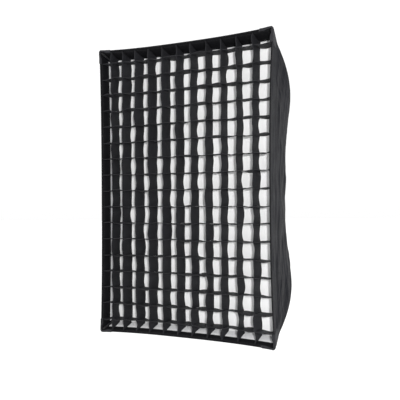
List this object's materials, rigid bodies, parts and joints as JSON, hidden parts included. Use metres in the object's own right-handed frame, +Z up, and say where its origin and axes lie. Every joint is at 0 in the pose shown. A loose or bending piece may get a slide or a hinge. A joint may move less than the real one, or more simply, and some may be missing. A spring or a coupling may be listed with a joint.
{
  "type": "rectangular softbox",
  "caption": "Rectangular studio softbox: black cloth shell on bowed rods, white diffusers, fabric honeycomb grid, rotating bayonet speedring.",
  "frame": {"origin": "centre of the bayonet flange's rear face, where the flash head's face meets it, on the optical axis", "axes": "+Y back along the optical axis into the flash head, -Y the way the light leaves, +Z up the long side, +X to the right seen from the front"},
  "size_m": [0.805, 0.662, 1.2064],
  "materials": {
    "shell_nylon": "black coated nylon, silver lining inside",
    "edge_tape": "ribbed black binding tape",
    "corner_patch_cloth": "heavy black webbing patch",
    "hook_and_loop": "black loop tape",
    "glass_fibre_rod": "black glass-fibre rod",
    "tip_rubber": "moulded rubber",
    "socket_steel": "zinc-plated steel tube",
    "collar_cloth": "black nylon with hook tape",
    "black_aluminium": "black anodised casting",
    "bayonet_steel": "turned and brushed steel",
    "screw_steel": "zinc-plated screws",
    "nylon_pad": "natural nylon",
    "knob_plastic": "black moulded knob",
    "webbing": "black webbing",
    "snap_metal": "nickel-plated brass",
    "inner_diffuser_cloth": "thin white nylon",
    "white_binding": "white binding tape",
    "elastic": "white elastic",
    "front_diffuser_cloth": "white diffusion cloth",
    "white_hook_tape": "white edge tape with hooks",
    "grid_edge_cloth": "black nylon with hook tape",
    "grid_cloth": "black nylon strips"
  },
  "bodies": {
    "mount": {"bayonet_plate": "bayonet_steel", "retaining_ring": "bayonet_steel", "retaining_screws": "screw_steel"},
    "softbox": {"speedring": "black_aluminium", "rear_collar": "collar_cloth", "strap_tabs": "webbing", "snap_studs": "snap_metal", "rod_upper_right": "glass_fibre_rod", "rod_upper_left": "glass_fibre_rod", "rod_lower_right": "glass_fibre_rod", "rod_lower_left": "glass_fibre_rod", "rod_tip_upper_right": "tip_rubber", "rod_tip_upper_left": "tip_rubber", "rod_tip_lower_right": "tip_rubber", "rod_tip_lower_left": "tip_rubber", "rod_socket_upper_right": "socket_steel", "rod_socket_upper_left": "socket_steel", "rod_socket_lower_right": "socket_steel", "rod_socket_lower_left": "socket_steel", "corner_patch_upper_right": "corner_patch_cloth", "corner_patch_upper_left": "corner_patch_cloth", "corner_patch_lower_right": "corner_patch_cloth", "corner_patch_lower_left": "corner_patch_cloth", "shell_right_panel": "shell_nylon", "shell_left_panel": "shell_nylon", "shell_top_panel": "shell_nylon", "shell_bottom_panel": "shell_nylon", "rim_binding_right": "edge_tape", "rim_binding_left": "edge_tape", "rim_binding_top": "edge_tape", "rim_binding_bottom": "edge_tape", "loop_tapes_right": "hook_and_loop", "loop_tapes_left": "hook_and_loop", "loop_tapes_top": "hook_and_loop", "loop_tapes_bottom": "hook_and_loop"},
    "lock_pad": {"lock_pad": "nylon_pad"},
    "lock_knob": {"lock_knob": "knob_plastic", "lock_screw": "screw_steel"},
    "inner_diffuser": {"inner_diffuser": "inner_diffuser_cloth", "inner_diffuser_binding": "white_binding", "elastic_straps": "elastic", "snap_caps": "snap_metal"},
    "front_diffuser": {"front_diffuser": "front_diffuser_cloth", "diffuser_border_right": "white_hook_tape", "diffuser_border_left": "white_hook_tape", "diffuser_border_top": "white_hook_tape", "diffuser_border_bottom": "white_hook_tape"},
    "grid": {"grid_upright_strips": "grid_cloth", "grid_level_strips": "grid_cloth", "grid_border_right": "grid_edge_cloth", "grid_border_left": "grid_edge_cloth", "grid_border_top": "grid_edge_cloth", "grid_border_bottom": "grid_edge_cloth"}
  },
  "joints": [
    {"name": "ring_rotation", "type": "hinge", "parent": "mount", "child": "softbox", "pos_m": [0, 0, 0], "axis": [0, 1, 0], "continuous": true},
    {"name": "lock_pad_travel", "type": "slide", "parent": "softbox", "child": "lock_pad", "axis": [1, 0, 0], "range_m": [0, 0.001]},
    {"name": "lock_knob_turn", "type": "hinge", "parent": "lock_pad", "child": "lock_knob", "pos_m": [0.07, -0.0086, 0], "axis": [1, 0, 0], "range_deg": [0, 360]},
    {"name": "inner_diffuser_release", "type": "slide", "parent": "softbox", "child": "inner_diffuser", "axis": [0, -1, 0], "range_m": [0, 0.45]},
    {"name": "front_diffuser_release", "type": "slide", "parent": "inner_diffuser", "child": "front_diffuser", "axis": [0, -1, 0], "range_m": [0, 0.2]},
    {"name": "grid_release", "type": "slide", "parent": "front_diffuser", "child": "grid", "axis": [0, -1, 0], "range_m": [0, 0.2]}
  ],
  "couplings": [
    {"joint": "lock_knob_turn", "follows": "lock_pad_travel", "rad_per_m": 6283.2}
  ]
}
